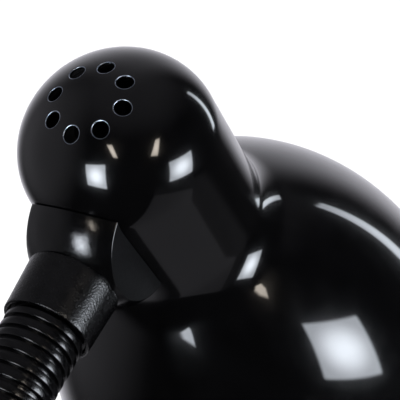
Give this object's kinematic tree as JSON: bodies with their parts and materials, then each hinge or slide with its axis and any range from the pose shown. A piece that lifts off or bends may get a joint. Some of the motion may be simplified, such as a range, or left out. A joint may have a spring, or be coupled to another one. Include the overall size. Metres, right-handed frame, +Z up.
{
  "type": "gooseneck desk lamp",
  "caption": "Gooseneck desk lamp: a round weighted base, a ribbed flexible neck, a tilting ball knuckle and a bell-shaped shade with a vented dome that shields a screw-in bulb.",
  "frame": {"origin": "centre of the base's underside, on the neck's foot axis", "axes": "+Z up along the foot of the neck, -Y towards the front, where the shade points, X across the lamp"},
  "size_m": [0.16, 0.2888, 0.3072],
  "materials": {
    "black_enamel": "gloss black enamel",
    "knuckle_plastic": "semi-gloss moulded black plastic",
    "grained_plastic": "fine-grained black plastic",
    "sleeve_plastic": "satin black PVC",
    "neck_steel": "wound spring steel",
    "zinc_steel": "zinc-plated steel",
    "black_steel": "blackened steel",
    "brass": "brass",
    "holder_plastic": "black lampholder thermoset",
    "porcelain_block": "off-white insulating block",
    "iron": "rough cast iron",
    "plate_steel": "steel sheet",
    "foam_rubber": "closed-cell foam rubber",
    "soft_rubber": "soft rubber",
    "switch_plastic": "black rocker switch plastic"
  },
  "bodies": {
    "base": {"foot_pad": "foam_rubber", "base_plate": "plate_steel", "ballast": "iron", "base_cover": "black_enamel", "base_socket": "grained_plastic", "hub_nipple": "zinc_steel", "hub_spacer": "zinc_steel", "hub_nut": "zinc_steel", "bridge_bar": "zinc_steel", "bridge_screws": "zinc_steel", "base_screws": "zinc_steel", "switch_body": "switch_plastic", "switch_tags": "brass", "cord_gland": "soft_rubber", "cord_clamp": "porcelain_block", "clamp_screws": "zinc_steel", "terminal_block": "porcelain_block", "terminal_screws": "brass", "neck_sleeve_foot": "sleeve_plastic", "neck_core_foot": "neck_steel"},
    "neck_1": {"neck_sleeve_1": "sleeve_plastic", "neck_core_1": "neck_steel"},
    "neck_2": {"neck_sleeve_2": "sleeve_plastic", "neck_core_2": "neck_steel"},
    "neck_3": {"neck_sleeve_3": "sleeve_plastic", "neck_core_3": "neck_steel"},
    "neck_4": {"neck_sleeve_4": "sleeve_plastic", "neck_core_4": "neck_steel"},
    "neck_5": {"neck_sleeve_5": "sleeve_plastic", "neck_core_5": "neck_steel"},
    "neck_6": {"neck_sleeve_6": "sleeve_plastic", "neck_core_6": "neck_steel"},
    "neck_7": {"neck_sleeve_7": "sleeve_plastic", "neck_core_7": "neck_steel"},
    "neck_8": {"neck_sleeve_8": "sleeve_plastic", "neck_core_8": "neck_steel"},
    "neck_9": {"neck_sleeve_9": "sleeve_plastic", "neck_core_9": "neck_steel"},
    "neck_top": {"collar": "grained_plastic", "stud": "zinc_steel", "cup_washer": "zinc_steel", "disc_spring": "neck_steel", "stud_nut": "zinc_steel", "neck_sleeve_top": "sleeve_plastic", "neck_core_top": "neck_steel"},
    "head": {"shade": "black_enamel", "knuckle": "knuckle_plastic", "knuckle_screws": "black_steel", "holder_bracket": "black_steel", "holder_nipple": "black_steel", "holder_nut": "black_steel", "holder_cap": "holder_plastic", "contact_block": "porcelain_block", "contact_screws": "brass", "holder_body": "holder_plastic", "screw_shell": "brass", "centre_contact": "brass", "side_contact": "brass"},
    "rocker": {"rocker": "switch_plastic"}
  },
  "joints": [
    {"name": "neck_low_bend", "type": "hinge", "parent": "base", "child": "neck_1", "pos_m": [0, 0, 0.06235], "axis": [1, 0, 0], "range_deg": [-20, 12]},
    {"name": "neck_side_bend", "type": "hinge", "parent": "neck_1", "child": "neck_2", "pos_m": [0, 0, 0.08305], "axis": [0, 1, 0], "range_deg": [-14, 14]},
    {"name": "neck_low_bend_2", "type": "hinge", "parent": "neck_2", "child": "neck_3", "pos_m": [0, 0, 0.10375], "axis": [1, 0, 0], "range_deg": [-20, 12]},
    {"name": "neck_side_bend_2", "type": "hinge", "parent": "neck_3", "child": "neck_4", "pos_m": [0, 0, 0.12445], "axis": [0, 1, 0], "range_deg": [-14, 14]},
    {"name": "neck_high_bend_2", "type": "hinge", "parent": "neck_4", "child": "neck_5", "pos_m": [0, 0, 0.14515], "axis": [1, 0, 0], "range_deg": [-25, 9]},
    {"name": "neck_side_bend_3", "type": "hinge", "parent": "neck_5", "child": "neck_6", "pos_m": [0, -0.0015, 0.16577], "axis": [0, 0.9863, 0.1652], "range_deg": [-14, 14]},
    {"name": "neck_high_bend", "type": "hinge", "parent": "neck_6", "child": "neck_7", "pos_m": [0, -0.0068, 0.18575], "axis": [1, 0, 0], "range_deg": [-25, 9]},
    {"name": "neck_side_bend_4", "type": "hinge", "parent": "neck_7", "child": "neck_8", "pos_m": [0, -0.01575, 0.20438], "axis": [0, 0.8568, 0.5156], "range_deg": [-14, 14]},
    {"name": "neck_high_bend_3", "type": "hinge", "parent": "neck_8", "child": "neck_9", "pos_m": [0, -0.02802, 0.22101], "axis": [1, 0, 0], "range_deg": [-25, 9]},
    {"name": "neck_side_bend_5", "type": "hinge", "parent": "neck_9", "child": "neck_top", "pos_m": [0, -0.04319, 0.23505], "axis": [0, 0.6441, 0.765], "range_deg": [-14, 14]},
    {"name": "head_tilt", "type": "hinge", "parent": "neck_top", "child": "head", "pos_m": [0, -0.07675, 0.26071], "axis": [1, 0, 0], "range_deg": [-12.5, 23]},
    {"name": "switch_rock", "type": "hinge", "parent": "base", "child": "rocker", "pos_m": [0, -0.046, 0.0274], "axis": [0, 1, 0], "range_deg": [0, 20]}
  ],
  "couplings": [
    {"joint": "neck_low_bend_2", "follows": "neck_low_bend", "ratio": 1},
    {"joint": "neck_high_bend_2", "follows": "neck_high_bend", "ratio": 1},
    {"joint": "neck_high_bend_3", "follows": "neck_high_bend", "ratio": 1},
    {"joint": "neck_side_bend_2", "follows": "neck_side_bend", "ratio": 1},
    {"joint": "neck_side_bend_3", "follows": "neck_side_bend", "ratio": 1},
    {"joint": "neck_side_bend_4", "follows": "neck_side_bend", "ratio": 1},
    {"joint": "neck_side_bend_5", "follows": "neck_side_bend", "ratio": 1}
  ]
}
